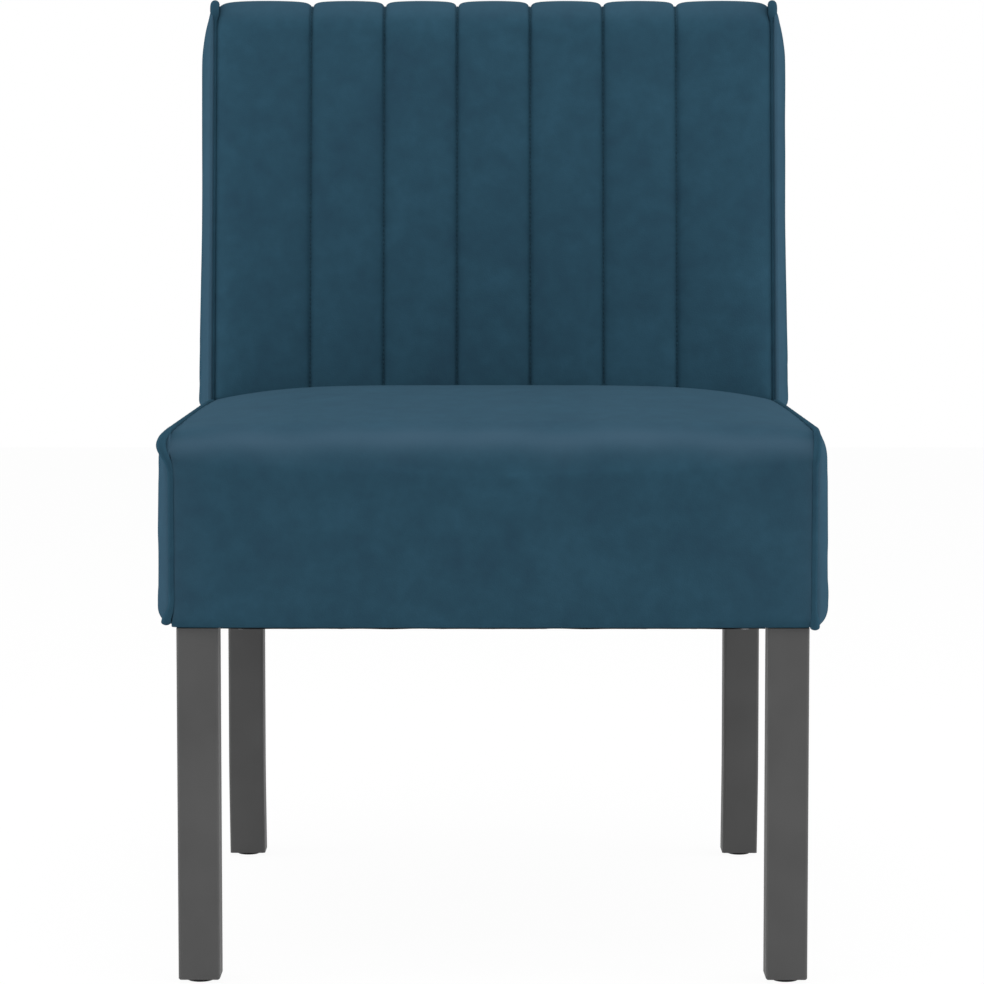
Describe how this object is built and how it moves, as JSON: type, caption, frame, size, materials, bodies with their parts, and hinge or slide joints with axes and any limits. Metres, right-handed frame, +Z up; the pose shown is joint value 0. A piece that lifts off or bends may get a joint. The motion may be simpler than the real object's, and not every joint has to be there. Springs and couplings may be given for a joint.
{
  "type": "upholstered armless chair",
  "caption": "Low armless easy chair: padded box seat, leaning back sewn into upright channels, piped side seams, square dark legs, the rear pair kicked rearward.",
  "frame": {"origin": "on the floor, under the middle of the chair's bounding box", "axes": "+Z up, the chair's front faces -Y, +X to the right as seen from the front"},
  "size_m": [0.5392, 0.6188, 0.8059],
  "materials": {
    "velvet": "short-pile velvet, soft sheen",
    "dust_cloth": "thin non-woven cloth",
    "leg_paint": "satin dark grey paint on wood",
    "glide_plastic": "moulded matte",
    "frame_wood": "planed pine, raw",
    "board": "pressed fibre board",
    "foam": "cut polyurethane foam",
    "wadding": "bonded polyester wadding",
    "felt": "needled felt",
    "webbing": "woven elastic tape",
    "zinc_steel": "zinc plated"
  },
  "bodies": {
    "root": {"back_bolts": "zinc_steel", "back_bottom_rail": "frame_wood", "back_channel_cover": "velvet", "back_foam": "foam", "back_lumbar_rail": "frame_wood", "back_piping_left": "velvet", "back_piping_right": "velvet", "back_post_left": "frame_wood", "back_post_right": "frame_wood", "back_rear_cover": "velvet", "back_rear_pad": "wadding", "back_side_cover_left": "velvet", "back_side_cover_right": "velvet", "back_side_pad_left": "foam", "back_side_pad_right": "foam", "back_strap_1": "webbing", "back_strap_2": "webbing", "back_strap_3": "webbing", "back_t_nuts": "zinc_steel", "back_tack_board": "board", "back_top_rail": "frame_wood", "back_washers": "zinc_steel", "dust_cover": "dust_cloth", "foot_glide_front_left": "glide_plastic", "foot_glide_front_right": "glide_plastic", "foot_glide_rear_left": "glide_plastic", "foot_glide_rear_right": "glide_plastic", "front_leg_left": "leg_paint", "front_leg_right": "leg_paint", "leg_hanger_bolts": "zinc_steel", "leg_insert_nuts": "zinc_steel", "rear_leg_left": "leg_paint", "rear_leg_right": "leg_paint", "seat_corner_block_left": "frame_wood", "seat_corner_block_right": "frame_wood", "seat_felt_pad": "felt", "seat_foam": "foam", "seat_front_pad": "wadding", "seat_front_rail": "frame_wood", "seat_piping_left": "velvet", "seat_piping_right": "velvet", "seat_rear_rail": "frame_wood", "seat_side_cover_left": "velvet", "seat_side_cover_right": "velvet", "seat_side_pad_left": "foam", "seat_side_pad_right": "foam", "seat_side_rail_left": "frame_wood", "seat_side_rail_right": "frame_wood", "seat_strap_cross_1": "webbing", "seat_strap_cross_2": "webbing", "seat_strap_cross_3": "webbing", "seat_strap_cross_4": "webbing", "seat_strap_long_1": "webbing", "seat_strap_long_2": "webbing", "seat_strap_long_3": "webbing", "seat_strap_long_4": "webbing", "seat_strap_long_5": "webbing", "seat_wrap_cover": "velvet"}
  },
  "joints": []
}
